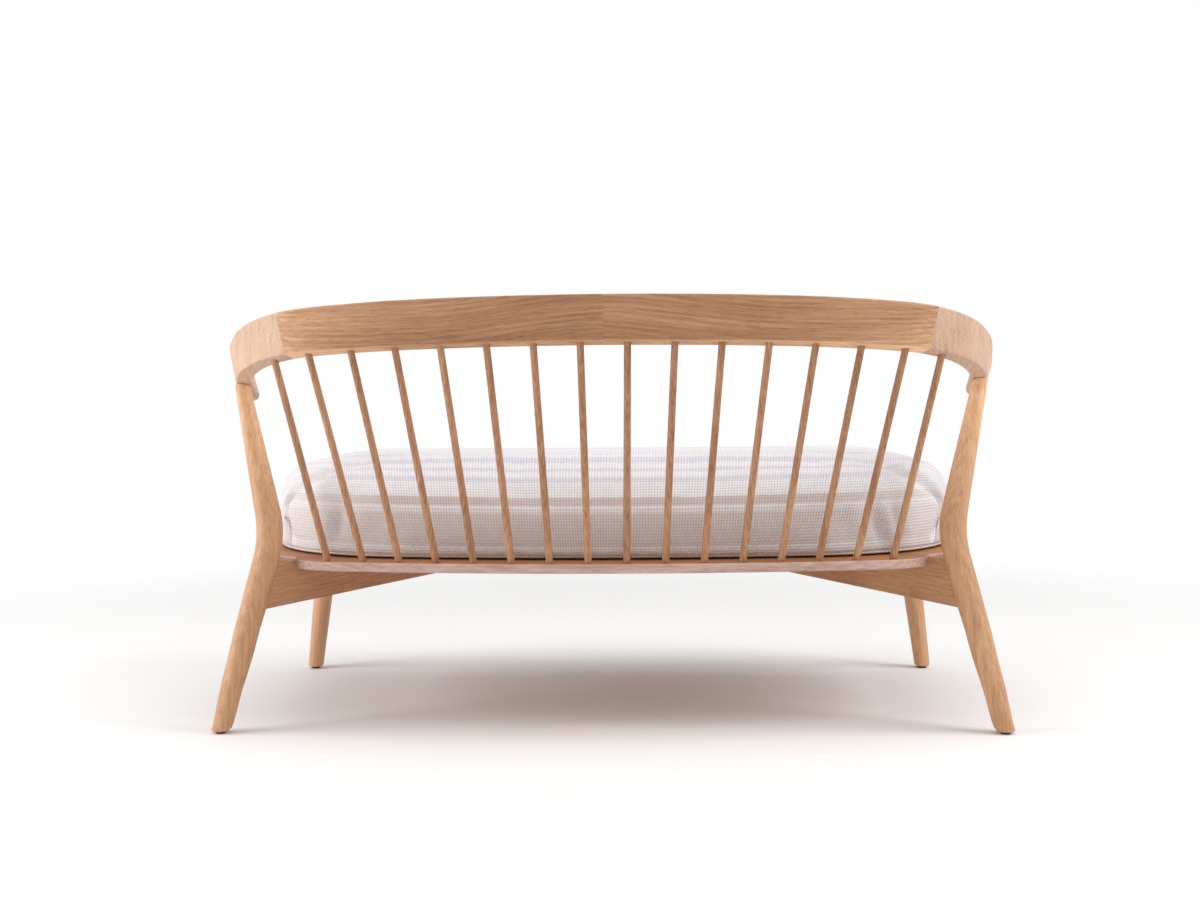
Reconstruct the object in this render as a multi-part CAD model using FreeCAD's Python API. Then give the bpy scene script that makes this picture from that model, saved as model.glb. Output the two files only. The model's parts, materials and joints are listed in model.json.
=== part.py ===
"""Garden sofa: bent crest rail on spindles and bent back legs, seat deck, loose cushion.

Millimetres.  +Z is up, the back of the sofa faces +Y and +X is the sitter's left.
Each named size below is written once and everything that meets it is worked out from it.
"""
import math
import os

import FreeCAD
import Part

V = FreeCAD.Vector

# Seat deck
SEAT_TOP = 307.5
SEAT_THICKNESS = 16.5
SEAT_BACK_Y = 268.5
SEAT_FRONT_Y = -362.0
SEAT_BACK_RADIUS = 2567.0
SEAT_CORNER_START = 500.0
SEAT_CORNER_RADIUS = 110.0
SEAT_CORNER_TURN = 50.0
SEAT_SIDE_REAR = 656.0
SEAT_SIDE_MIDDLE = 676.0
SEAT_SIDE_FRONT = 664.0
SEAT_FRONT_CORNER = 45.0
SEAT_FRONT_BOW = 6.0
NOTCH_RADIUS = 54.0
NOTCH_OFFSET_X = 4.5
NOTCH_OFFSET_Y = -14.0
NOTCH_UNDERCUT = 9.0
BOARD_EASE = 2.0
BOARD_JOINTS = (104.0, -50.0, -204.0)

# Crest rail: outer bottom edge in plan, from the middle of the back round to the arm tip
RAIL_BACK_Y = 375.0
RAIL_UNDERSIDE = 693.5
RAIL_TILT = 16.48
RAIL_TOP_TILT = 18.54
RAIL_HEIGHT = 77.0
RAIL_THICKNESS = 29.5
RAIL_LEAN = 5.7
RAIL_EDGE_ROUND = 3.0
CENTRE_RADIUS = 3531.0
CENTRE_LENGTH = 300.6
SHOULDER_RADIUS = 1479.0
SHOULDER_LENGTH = 202.9
CORNER_RADIUS = 240.3
ARM_ANGLE = 79.5
ARM_LENGTH = 123.0
ARM_LEAN = 18.0
ARM_LEAN_RUN = 70.0
ARM_EDGE_ROUND = 13.0
ARM_SWELL = 10.5
ARM_NOSE = 46.0
ARM_NOSE_RISE = 20.0
ARM_JOINT_STATION = 553.0
ARM_JOINT_SLANT = 10.0
TENON_THICKNESS = 9.0
TENON_HEIGHT = 30.0
TENON_LENGTH = 52.0
TENON_LIFT = 46.0

# Spindles
SPINDLE_COUNT = 16
SPINDLE_FOOT_DIAMETER = 13.0
SPINDLE_TOP_DIAMETER = 12.0
SPINDLE_SEAT_PITCH = 67.85
SPINDLE_RAIL_PITCH = 79.04
SPINDLE_EDGE = 15.3
SPINDLE_SEAT_SOCKET = 11.5
SPINDLE_RAIL_SOCKET = 22.0

# Legs and glides
BACK_FOOT_X = 701.0
BACK_FOOT_Y = 223.0
KNEE_X = 611.8
KNEE_Z = 353.5
KNEE_BLEND = 42.0
BACK_LEG_FOOT = 34.0
BACK_LEG_KNEE = 47.5
BACK_LEG_TOP = 26.5
BACK_LEG_FULL_FROM = 250.0
BACK_LEG_FULL_TO = 380.0
LEG_STATION = 776.0
LEG_OUTSET = 4.0
LEG_TENON_DIAMETER = 14.0
LEG_TENON_LENGTH = 26.0
LEG_TOP_EASE = 2.0
FRONT_FOOT_X = 670.5
FRONT_FOOT_Y = -366.0
FRONT_LEG_FOOT = 32.5
FRONT_LEG_TOP = 47.0
FRONT_LEG_TOP_X = 628.0
FRONT_LEG_TOP_Y = -331.0
FOOT_CHAMFER = 2.5
GLIDE_DIAMETER = 18.0
GLIDE_HEIGHT = 4.5
GLIDE_PIN_DIAMETER = 5.0
GLIDE_PIN_LENGTH = 18.0

# Bearers and beam under the seat
BEARER_THICKNESS = 26.0
BEARER_FOOT_Z = 221.5
BEARER_EAR_DROP = 2.5
BEARER_EAR_GAP = 2.5
BEARER_TENON_THICKNESS = 12.0
BEARER_TENON_HEIGHT = 40.0
BEARER_TENON_DEPTH = 20.0
BEAM_Y = -62.0
BEAM_HALF_LENGTH = 330.0
BEAM_AIM_X = 300.0
BEAM_WIDTH = 112.0
BEAM_DEPTH = 26.0
DOWEL_DIAMETER = 8.0
DOWEL_LENGTH = 40.0
DOWEL_SPREAD = 12.0
SCREW_DIAMETER = 4.5
SCREW_HEAD_DIAMETER = 9.0
SCREW_HEAD_HEIGHT = 3.5
SCREW_LENGTH = 32.0
SCREW_BITE = 10.0

# Cushion
CUSHION_HALF_WIDTH = 672.0
CUSHION_BACK_Y = 212.0
CUSHION_FRONT_Y = -356.0
CUSHION_BACK_RADIUS = 2700.0
CUSHION_BACK_CORNER = 335.0
CUSHION_FRONT_CORNER = 90.0
CUSHION_DRAW_IN = 4.0
CUSHION_BASE_ROUND = 14.0
CUSHION_BASE_RISE = 38.0
CUSHION_WAIST = 60.0
CUSHION_CROWN_HEIGHT = 187.0
CUSHION_CROWN_REACH = 195.0
CUSHION_CROWN_POWER = 3.8
CUSHION_COVER = 2.0
CUSHION_GAP = 0.4

# Fits
GLUE = 0.1
END_GAP = 0.5
SCRIBE_GAP = 0.15

# Values worked out from the sizes above
SEAT_UNDER = SEAT_TOP - SEAT_THICKNESS
BEAM_BOTTOM = SEAT_UNDER - BEAM_DEPTH
RAIL_SLOPE = math.tan(math.radians(RAIL_TILT))
TOP_SLOPE = math.tan(math.radians(RAIL_TOP_TILT))
FAR = 2000.0


def fraction(value, start, end):
    """Position of a value between start and end, held to 0..1."""
    return min(1.0, max(0.0, (value - start) / (end - start)))


def rounded_wire(points, radius):
    """Closed planar wire through corner points with every corner rounded by an arc."""
    count = len(points)
    starts = []
    middles = []
    ends = []
    for i in range(count):
        corner = points[i]
        back = (points[i - 1] - corner).normalize()
        ahead = (points[(i + 1) % count] - corner).normalize()
        half = back.getAngle(ahead) / 2.0
        reach = radius / math.tan(half)
        bisector = (back + ahead).normalize()
        starts.append(corner + back * reach)
        middles.append(corner + bisector * (radius / math.sin(half) - radius))
        ends.append(corner + ahead * reach)
    edges = []
    for i in range(count):
        edges.append(Part.Arc(starts[i], middles[i], ends[i]).toShape())
        edges.append(Part.LineSegment(ends[i], starts[(i + 1) % count]).toShape())
    return Part.Wire(edges)


def mirrored(shape):
    """The same piece on the other side of the sofa."""
    return shape.mirror(V(0, 0, 0), V(1, 0, 0))


def half_space(point, normal):
    """Large block on the side of a plane that the normal points to."""
    way = V(normal).normalize()
    turn = FreeCAD.Rotation(V(0, 0, 1), way)
    block = Part.makeBox(2 * FAR, 2 * FAR, FAR, V(-FAR, -FAR, 0))
    block.Placement = FreeCAD.Placement(point, turn).multiply(block.Placement)
    return block


# Crest rail
BACK_TURN = CENTRE_LENGTH / CENTRE_RADIUS + SHOULDER_LENGTH / SHOULDER_RADIUS
CORNER_TURN = math.radians(ARM_ANGLE) - BACK_TURN
CORNER_LENGTH = CORNER_RADIUS * CORNER_TURN
CORNER_START = CENTRE_LENGTH + SHOULDER_LENGTH
CORNER_END = CORNER_START + CORNER_LENGTH
TIP_STATION = CORNER_END + ARM_LENGTH


def rail_plan(station):
    """Point on the outer bottom edge in plan and the angle its tangent has turned."""
    x = 0.0
    y = RAIL_BACK_Y
    turned = 0.0
    left = station
    spans = ((CENTRE_RADIUS, CENTRE_LENGTH), (SHOULDER_RADIUS, SHOULDER_LENGTH),
             (CORNER_RADIUS, CORNER_LENGTH))
    for radius, length in spans:
        part = min(left, length)
        after = turned + part / radius
        x += radius * (math.sin(after) - math.sin(turned))
        y -= radius * (math.cos(turned) - math.cos(after))
        turned = after
        left -= part
        if left <= 0.0:
            return x, y, turned
    return x + left * math.cos(turned), y - left * math.sin(turned), turned


def underside(y):
    """Height of the sloping underside of the crest rail at a depth."""
    return RAIL_UNDERSIDE - RAIL_SLOPE * (RAIL_BACK_Y - y)


def upper_side(y):
    """Height of the sloping top of the crest rail at a depth."""
    return RAIL_UNDERSIDE + RAIL_HEIGHT - TOP_SLOPE * (RAIL_BACK_Y - y)


def rail_mid(station):
    """Middle of the underside at a station, with the tangent and the outward way there."""
    x, y, turned = rail_plan(station)
    out = V(math.sin(turned), math.cos(turned), 0)
    along = V(math.cos(turned), -math.sin(turned), 0)
    mid = V(x, y, 0) - out * (RAIL_THICKNESS / 2)
    mid.z = underside(mid.y)
    return mid, along, out


def rail_section(station):
    """Rounded four-sided outline of the rail in the upright plane across it."""
    x, y, turned = rail_plan(station)
    out = V(math.sin(turned), math.cos(turned), 0)
    outer = V(x, y, 0)
    swing = fraction(station, CORNER_END - ARM_LEAN_RUN, TIP_STATION)
    inner = outer - out * (RAIL_THICKNESS + ARM_SWELL * swing * swing)
    lean = math.tan(math.radians(RAIL_LEAN + (ARM_LEAN - RAIL_LEAN) * swing))
    edge = RAIL_EDGE_ROUND + (ARM_EDGE_ROUND - RAIL_EDGE_ROUND) * swing
    corners = []
    for base in (outer, inner):
        low = V(base.x, base.y, underside(base.y))
        rise = upper_side(base.y) - low.z
        high = low + out * (lean * rise) + V(0, 0, rise)
        corners.append((low, high))
    points = [corners[0][0], corners[0][1], corners[1][1], corners[1][0]]
    into = fraction(station, TIP_STATION - ARM_NOSE, TIP_STATION)
    if into > 0.0:
        keep = math.sqrt(1.0 - into * into)
        rise = out * (lean * ARM_NOSE_RISE) + V(0, 0, ARM_NOSE_RISE)
        middle = (corners[0][0] + corners[1][0]) * 0.5 + rise
        points = [middle + (p - middle) * keep for p in points]
        edge = edge * keep
    return rounded_wire(points, edge)


def spread(start, end, steps):
    """Even steps from start up to, but without, end."""
    return [start + (end - start) * i / steps for i in range(steps)]


NOSE_START = TIP_STATION - ARM_NOSE
NOSE_SHARES = (0.0, 0.3, 0.55, 0.75, 0.88, 0.955, 0.985)
stations = spread(0.0, CENTRE_LENGTH, 5)
stations += spread(CENTRE_LENGTH, CORNER_START, 4)
stations += spread(CORNER_START, CORNER_END, 9)
stations += spread(CORNER_END, NOSE_START, 3)
stations += [NOSE_START + ARM_NOSE * share for share in NOSE_SHARES]
half_rail = Part.makeLoft([rail_section(s) for s in stations], True, False)

joint_mid, joint_along, joint_out = rail_mid(ARM_JOINT_STATION)
slant = math.radians(ARM_JOINT_SLANT)
joint_normal = joint_along * math.cos(slant) - V(0, 0, math.sin(slant))
crest = half_rail.cut(half_space(joint_mid, joint_normal))
arm = half_rail.cut(half_space(joint_mid, joint_normal * -1))


def tenon(mid, along, out, lift, grow):
    """Loose tenon block across a rail joint, grown on its faces for the mortise."""
    lean = math.tan(math.radians(RAIL_LEAN))
    centre = mid + out * (lean * lift) + V(0, 0, lift)
    size_a = TENON_LENGTH + 2 * (END_GAP if grow else 0.0)
    size_t = TENON_THICKNESS + 2 * grow
    size_h = TENON_HEIGHT + 2 * grow
    block = Part.makeBox(size_a, size_t, size_h, V(-size_a / 2, -size_t / 2, -size_h / 2))
    turn = FreeCAD.Rotation(along, out, V(0, 0, 1), "XYZ")
    block.Placement = FreeCAD.Placement(centre, turn).multiply(block.Placement)
    return block


slant_run = math.tan(slant) * TENON_LIFT
arm_tenon_mid = joint_mid + joint_along * slant_run
crest_mid, crest_along, crest_out = rail_mid(0.0)
crest = crest.cut(tenon(crest_mid, crest_along, crest_out, TENON_LIFT, GLUE))
crest = crest.cut(tenon(arm_tenon_mid, joint_along, joint_out, TENON_LIFT, GLUE))
arm = arm.cut(tenon(arm_tenon_mid, joint_along, joint_out, TENON_LIFT, GLUE))
crest_tenon = tenon(crest_mid, crest_along, crest_out, TENON_LIFT, 0.0)
arm_tenon = tenon(arm_tenon_mid, joint_along, joint_out, TENON_LIFT, 0.0)

# Spindles and their sockets
SPINDLE_ARC = SEAT_BACK_RADIUS - SPINDLE_EDGE
SPINDLE_Y = SEAT_BACK_Y - SPINDLE_EDGE


def spindle_line(index):
    """Seat point and rail point of one spindle axis on the +X side."""
    turn = (index + 0.5) * SPINDLE_SEAT_PITCH / SPINDLE_ARC
    foot_y = SPINDLE_Y - SPINDLE_ARC * (1 - math.cos(turn))
    foot = V(SPINDLE_ARC * math.sin(turn), foot_y, SEAT_TOP)
    head, along, out = rail_mid((index + 0.5) * SPINDLE_RAIL_PITCH)
    return foot, head


spindles = []
seat_sockets = []
for index in range(SPINDLE_COUNT // 2):
    foot, head = spindle_line(index)
    way = (head - foot).normalize()
    low = foot - way * SPINDLE_SEAT_SOCKET
    high = head + way * SPINDLE_RAIL_SOCKET
    length = (high - low).Length
    spindles.append(Part.makeCone(SPINDLE_FOOT_DIAMETER / 2, SPINDLE_TOP_DIAMETER / 2, length, low, way))
    slack = SPINDLE_FOOT_DIAMETER / 2 + GLUE
    seat_sockets.append(Part.makeCylinder(slack, 3 * SPINDLE_SEAT_SOCKET, low, way))
    taper = (SPINDLE_FOOT_DIAMETER - SPINDLE_TOP_DIAMETER) / 2 * (2 * SPINDLE_RAIL_SOCKET / length)
    top_slack = SPINDLE_TOP_DIAMETER / 2 + taper + GLUE
    below = head - way * SPINDLE_RAIL_SOCKET
    socket = Part.makeCylinder(top_slack, 2 * SPINDLE_RAIL_SOCKET + END_GAP, below, way)
    if (index + 0.5) * SPINDLE_RAIL_PITCH < ARM_JOINT_STATION:
        crest = crest.cut(socket)
    else:
        arm = arm.cut(socket)

# Back legs
leg_top, leg_along, leg_out = rail_mid(LEG_STATION)
leg_top = leg_top + leg_out * LEG_OUTSET
leg_top.z = underside(leg_top.y)


def back_leg_centre(z):
    """Axis of the back leg at a height: two straight lines joined by a parabola at the knee."""
    y = BACK_FOOT_Y + (leg_top.y - BACK_FOOT_Y) * z / leg_top.z
    low_slope = (KNEE_X - BACK_FOOT_X) / KNEE_Z
    high_slope = (leg_top.x - KNEE_X) / (leg_top.z - KNEE_Z)
    if z < KNEE_Z:
        x = KNEE_X + low_slope * (z - KNEE_Z)
    else:
        x = KNEE_X + high_slope * (z - KNEE_Z)
    inside = KNEE_BLEND - abs(z - KNEE_Z)
    if inside > 0.0:
        x += (high_slope - low_slope) * inside * inside / (4 * KNEE_BLEND)
    return V(x, y, z)


def back_leg_radius(z):
    """Level radius of the back leg: swells up from the foot, full at the knee, thins to the top."""
    if z < BACK_LEG_FULL_TO:
        share = 1.0 - (1.0 - fraction(z, 0.0, BACK_LEG_FULL_FROM)) ** 1.7
        return (BACK_LEG_FOOT + (BACK_LEG_KNEE - BACK_LEG_FOOT) * share) / 2
    share = ((z - BACK_LEG_FULL_TO) / (leg_top.z - BACK_LEG_FULL_TO)) ** 1.1
    return (BACK_LEG_KNEE + (BACK_LEG_TOP - BACK_LEG_KNEE) * share) / 2


def front_leg_centre(z):
    """Axis of the front leg at a height: one straight line."""
    share = z / SEAT_UNDER
    return V(FRONT_FOOT_X + (FRONT_LEG_TOP_X - FRONT_FOOT_X) * share,
             FRONT_FOOT_Y + (FRONT_LEG_TOP_Y - FRONT_FOOT_Y) * share, z)


def front_leg_radius(z):
    """Level radius of the front leg, an even taper."""
    return (FRONT_LEG_FOOT + (FRONT_LEG_TOP - FRONT_LEG_FOOT) * z / SEAT_UNDER) / 2


def leg_body(centre, radius, heights, grow):
    """Loft through level circles along the axis of a leg."""
    rings = []
    for z in heights:
        rings.append(Part.Wire([Part.makeCircle(radius(z) + grow, centre(z), V(0, 0, 1))]))
    return Part.makeLoft(rings, True, False)


def foot_cone(centre, radius):
    """Widening cone that leaves a chamfer round the foot of a leg."""
    base = centre(GLIDE_HEIGHT)
    small = radius(GLIDE_HEIGHT) - FOOT_CHAMFER
    return Part.makeCone(small, small + leg_top.z, leg_top.z, base, V(0, 0, 1))


back_heights = spread(GLIDE_HEIGHT, KNEE_Z - KNEE_BLEND, 6)
back_heights += spread(KNEE_Z - KNEE_BLEND, KNEE_Z + KNEE_BLEND, 4)
back_heights += spread(KNEE_Z + KNEE_BLEND, leg_top.z, 6)
back_heights += [leg_top.z, leg_top.z + LEG_TENON_LENGTH / 2]
front_heights = spread(GLIDE_HEIGHT, SEAT_UNDER, 4) + [SEAT_UNDER]

leg_way = (back_leg_centre(leg_top.z) - back_leg_centre(leg_top.z - 40.0)).normalize()
rail_normal = V(0, -RAIL_SLOPE, 1).normalize()
back_leg_raw = leg_body(back_leg_centre, back_leg_radius, back_heights, 0.0)
back_leg = back_leg_raw.cut(half_space(leg_top - rail_normal * GLUE, rail_normal))
ease_small = BACK_LEG_TOP / 2 - LEG_TOP_EASE
ease_cone = Part.makeCone(ease_small + FAR, ease_small, FAR, leg_top - rail_normal * FAR, rail_normal)
back_leg = back_leg.common(ease_cone)
back_leg = back_leg.common(foot_cone(back_leg_centre, back_leg_radius))
peg_start = leg_top - leg_way * LEG_TENON_LENGTH
peg = Part.makeCylinder(LEG_TENON_DIAMETER / 2, 2 * LEG_TENON_LENGTH, peg_start, leg_way)
back_leg = back_leg.fuse(peg).removeSplitter()
peg_reach = 2 * LEG_TENON_LENGTH + END_GAP
arm = arm.cut(Part.makeCylinder(LEG_TENON_DIAMETER / 2 + GLUE, peg_reach, peg_start, leg_way))

front_leg = leg_body(front_leg_centre, front_leg_radius, front_heights, 0.0)
front_leg = front_leg.common(foot_cone(front_leg_centre, front_leg_radius))

# Seat deck
notch_centre = back_leg_centre(SEAT_TOP) + V(NOTCH_OFFSET_X, NOTCH_OFFSET_Y, 0)


def seat_outline(inset, z):
    """Level outline of the deck without its notches, drawn in all round by an inset."""
    back_radius = SEAT_BACK_RADIUS - inset
    corner = SEAT_CORNER_RADIUS - inset
    front_corner = SEAT_FRONT_CORNER - inset
    centre = V(0, SEAT_BACK_Y - SEAT_BACK_RADIUS, z)
    turn = math.asin(SEAT_CORNER_START / SEAT_BACK_RADIUS)
    out = V(math.sin(turn), math.cos(turn), 0)
    start = centre + out * back_radius
    pivot = centre + out * (SEAT_BACK_RADIUS - SEAT_CORNER_RADIUS)
    half_turn = turn + math.radians(SEAT_CORNER_TURN) / 2
    full_turn = turn + math.radians(SEAT_CORNER_TURN)
    bend_mid = pivot + V(math.sin(half_turn), math.cos(half_turn), 0) * corner
    bend_end = pivot + V(math.sin(full_turn), math.cos(full_turn), 0) * corner
    rear_y = notch_centre.y - NOTCH_RADIUS * 0.8
    front_y = SEAT_FRONT_Y + SEAT_FRONT_CORNER
    side_rear = V(SEAT_SIDE_REAR - inset, rear_y, z)
    side_mid = V(SEAT_SIDE_MIDDLE - inset, (rear_y + front_y) / 2, z)
    side_front = V(SEAT_SIDE_FRONT - inset, front_y, z)
    diagonal = front_corner * math.sqrt(0.5)
    nose = V(SEAT_SIDE_FRONT - SEAT_FRONT_CORNER + diagonal, front_y - diagonal, z)
    front_end = V(SEAT_SIDE_FRONT - SEAT_FRONT_CORNER, SEAT_FRONT_Y + inset, z)
    front_mid = V(0, SEAT_FRONT_Y - SEAT_FRONT_BOW + inset, z)

    def flip(p):
        return V(-p.x, p.y, p.z)

    edges = [Part.Arc(flip(start), V(0, SEAT_BACK_Y - inset, z), start).toShape()]
    edges.append(Part.Arc(start, bend_mid, bend_end).toShape())
    edges.append(Part.LineSegment(bend_end, side_rear).toShape())
    edges.append(Part.Arc(side_rear, side_mid, side_front).toShape())
    edges.append(Part.Arc(side_front, nose, front_end).toShape())
    edges.append(Part.Arc(front_end, front_mid, flip(front_end)).toShape())
    edges.append(Part.Arc(flip(front_end), flip(nose), flip(side_front)).toShape())
    edges.append(Part.Arc(flip(side_front), flip(side_mid), flip(side_rear)).toShape())
    edges.append(Part.LineSegment(flip(side_rear), flip(bend_end)).toShape())
    edges.append(Part.Arc(flip(bend_end), flip(bend_mid), flip(start)).toShape())
    return Part.Wire(edges)


def seat_panel():
    """Deck with eased edges and a round notch, eased above and undercut below, for each back leg."""
    levels = ((BOARD_EASE, SEAT_UNDER), (0.0, SEAT_UNDER + BOARD_EASE),
              (0.0, SEAT_TOP - BOARD_EASE), (BOARD_EASE, SEAT_TOP))
    deck = Part.makeLoft([seat_outline(inset, z) for inset, z in levels], True, True)
    for side in (1, -1):
        base = V(side * notch_centre.x, notch_centre.y, SEAT_UNDER - BOARD_EASE)
        top = V(base.x, base.y, SEAT_TOP - BOARD_EASE)
        wide = NOTCH_RADIUS + 2 * BOARD_EASE
        deck = deck.cut(Part.makeCylinder(NOTCH_RADIUS, SEAT_THICKNESS + 2 * BOARD_EASE, base))
        deck = deck.cut(Part.makeCone(NOTCH_RADIUS, wide, 2 * BOARD_EASE, top))
        slant = SEAT_THICKNESS - 2 * BOARD_EASE
        foot = NOTCH_RADIUS + NOTCH_UNDERCUT * (slant + BOARD_EASE) / slant
        deck = deck.cut(Part.makeCone(foot, NOTCH_RADIUS, slant + BOARD_EASE, base))
    return deck


panel = seat_panel()
for socket in seat_sockets:
    panel = panel.cut(socket).cut(mirrored(socket))

# Bearers, beam, dowels and screws
beam = Part.makeBox(2 * BEAM_HALF_LENGTH, BEAM_WIDTH, BEAM_DEPTH,
                    V(-BEAM_HALF_LENGTH, BEAM_Y - BEAM_WIDTH / 2, BEAM_BOTTOM))
dowels = []
screws = []
TENON_Z = (BEARER_FOOT_Z + SEAT_UNDER) / 2


def upright(start, way, outline, thickness):
    """Plank standing on edge: outline of (distance, height) pairs along a level way."""
    across = V(-way.y, way.x, 0)
    points = [start + way * u + V(0, 0, z) - across * (thickness / 2) for u, z in outline]
    face = Part.Face(Part.makePolygon(points + [points[0]]))
    return face.extrude(across * thickness)


def screw_holes(x, y, underneath):
    """Screw from below at a place, with its counterbore and pilot hole."""
    tip = SEAT_UNDER + SCREW_BITE
    seat = tip - SCREW_LENGTH
    under_head = V(x, y, seat - SCREW_HEAD_HEIGHT)
    head = Part.makeCylinder(SCREW_HEAD_DIAMETER / 2, SCREW_HEAD_HEIGHT, under_head)
    shank = Part.makeCylinder(SCREW_DIAMETER / 2, SCREW_LENGTH, V(x, y, seat))
    screws.append(head.fuse(shank).removeSplitter())
    bore_start = V(x, y, underneath - 1.0)
    bore = Part.makeCylinder(SCREW_HEAD_DIAMETER / 2 + END_GAP, seat - bore_start.z, bore_start)
    pilot = Part.makeCylinder(SCREW_DIAMETER / 2 + GLUE, SCREW_LENGTH + END_GAP, V(x, y, seat))
    return bore.fuse(pilot)


def bearer(centre, radius, heights, ear, side_y):
    """Tapered bearer scribed and tenoned into a leg, butted to the beam end with two dowels."""
    root = centre(TENON_Z)
    root = V(root.x, root.y, 0)
    aim = V(BEAM_AIM_X, BEAM_Y + side_y * (BEARER_THICKNESS / 2 + SCRIBE_GAP), 0)
    way = aim - root
    length = way.Length
    way.normalize()
    leg_face = radius(TENON_Z)
    fall = (BEAM_BOTTOM - BEARER_FOOT_Z) / (length - leg_face)
    outline = [(0.0, BEARER_FOOT_Z - fall * leg_face), (length, BEAM_BOTTOM), (length, SEAT_UNDER)]
    if ear:
        near = notch_centre - root
        near.z = 0
        lead = near.dot(way)
        off = math.sqrt(near.Length ** 2 - lead ** 2) + BEARER_THICKNESS / 2
        ear_end = lead + math.sqrt(NOTCH_RADIUS ** 2 - off ** 2) - BEARER_EAR_GAP
        notch_foot = NOTCH_RADIUS + NOTCH_UNDERCUT
        ear_foot = lead + math.sqrt(notch_foot ** 2 - off ** 2) - BEARER_EAR_GAP
        ear_top = SEAT_TOP - BEARER_EAR_DROP
        outline += [(ear_foot, SEAT_UNDER), (ear_end, ear_top), (0.0, ear_top)]
    else:
        outline += [(0.0, SEAT_UNDER)]
    body = upright(root, way, outline, BEARER_THICKNESS)
    body = body.cut(leg_body(centre, radius, heights, SCRIBE_GAP))
    end_x = BEAM_HALF_LENGTH + SCRIBE_GAP
    body = body.cut(half_space(V(end_x, 0, 0), V(-1, 0, 0)))
    body = max(body.Solids, key=lambda s: s.Volume)
    low = TENON_Z - BEARER_TENON_HEIGHT / 2
    high = TENON_Z + BEARER_TENON_HEIGHT / 2
    inner = leg_face - BEARER_TENON_DEPTH
    outer = leg_face + BEARER_TENON_DEPTH
    tongue_side = [(inner, low), (outer, low), (outer, high), (inner, high)]
    tongue = upright(root, way, tongue_side, BEARER_TENON_THICKNESS)
    slot_low = low - GLUE
    slot_high = high + GLUE
    slot_in = inner - END_GAP
    slot_side = [(slot_in, slot_low), (outer, slot_low), (outer, slot_high), (slot_in, slot_high)]
    slot = upright(root, way, slot_side, BEARER_TENON_THICKNESS + 2 * GLUE)
    body = body.fuse(tongue).removeSplitter()
    reach = (BEAM_HALF_LENGTH - root.x) / way.x
    meet = root + way * reach
    across = V(-way.y, way.x, 0)
    holes = []
    for shift in (-DOWEL_SPREAD / 2, DOWEL_SPREAD / 2):
        mid = meet + across * shift + V(0, 0, (BEAM_BOTTOM + SEAT_UNDER) / 2)
        dowel_start = mid - way * (DOWEL_LENGTH / 2)
        dowels.append(Part.makeCylinder(DOWEL_DIAMETER / 2, DOWEL_LENGTH, dowel_start, way))
        long = DOWEL_LENGTH + 2 * END_GAP
        holes.append(Part.makeCylinder(DOWEL_DIAMETER / 2 + GLUE, long, mid - way * (long / 2), way))
    drills = []
    for share in (0.35, 0.75):
        place = root + way * (reach * share)
        drills.append(screw_holes(place.x, place.y, BEARER_FOOT_Z - BEAM_DEPTH))
    for tool in holes + drills:
        body = body.cut(tool)
    return body, slot, holes, drills


rear_bearer, rear_slot, rear_holes, rear_drills = bearer(
    back_leg_centre, back_leg_radius, back_heights, True, 1)
front_bearer, front_slot, front_holes, front_drills = bearer(
    front_leg_centre, front_leg_radius, front_heights + [SEAT_TOP], False, -1)
back_leg = back_leg.cut(rear_slot)
front_leg = front_leg.cut(front_slot)
for hole in rear_holes + front_holes:
    beam = beam.cut(hole).cut(mirrored(hole))
for drill in rear_drills + front_drills:
    panel = panel.cut(drill).cut(mirrored(drill))
dowel_group = Part.makeCompound(dowels + [mirrored(d) for d in dowels])
for x in (BEAM_HALF_LENGTH / 4, BEAM_HALF_LENGTH * 3 / 4):
    drill = screw_holes(x, BEAM_Y, BEAM_BOTTOM)
    beam = beam.cut(drill).cut(mirrored(drill))
    panel = panel.cut(drill).cut(mirrored(drill))
screw_group = Part.makeCompound(screws + [mirrored(s) for s in screws])

board_edges = (FAR,) + BOARD_JOINTS + (-FAR,)
boards = []
for index in range(len(board_edges) - 1):
    top_y = board_edges[index]
    low_y = board_edges[index + 1]
    boards.append(panel.common(Part.makeBox(2 * FAR, top_y - low_y, FAR, V(-FAR, low_y, 0))))

# Glides
def glide(centre, radius):
    """Foot disc with a rounded lower edge and a pin up into the leg, and the hole for the pin."""
    base = centre(GLIDE_HEIGHT)
    disc = Part.makeCylinder(GLIDE_DIAMETER / 2, GLIDE_HEIGHT, V(base.x, base.y, 0))
    low = [e for e in disc.Edges if e.BoundBox.ZMax < 0.01]
    disc = disc.makeFillet(1.0, low)
    pin = Part.makeCylinder(GLIDE_PIN_DIAMETER / 2, GLIDE_HEIGHT / 2 + GLIDE_PIN_LENGTH,
                            V(base.x, base.y, GLIDE_HEIGHT / 2))
    hole = Part.makeCylinder(GLIDE_PIN_DIAMETER / 2 + GLUE, GLIDE_PIN_LENGTH + END_GAP, base)
    return disc.fuse(pin).removeSplitter(), hole


back_glide, back_hole = glide(back_leg_centre, back_leg_radius)
front_glide, front_hole = glide(front_leg_centre, front_leg_radius)
back_leg = back_leg.cut(back_hole)
front_leg = front_leg.cut(front_hole)


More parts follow.
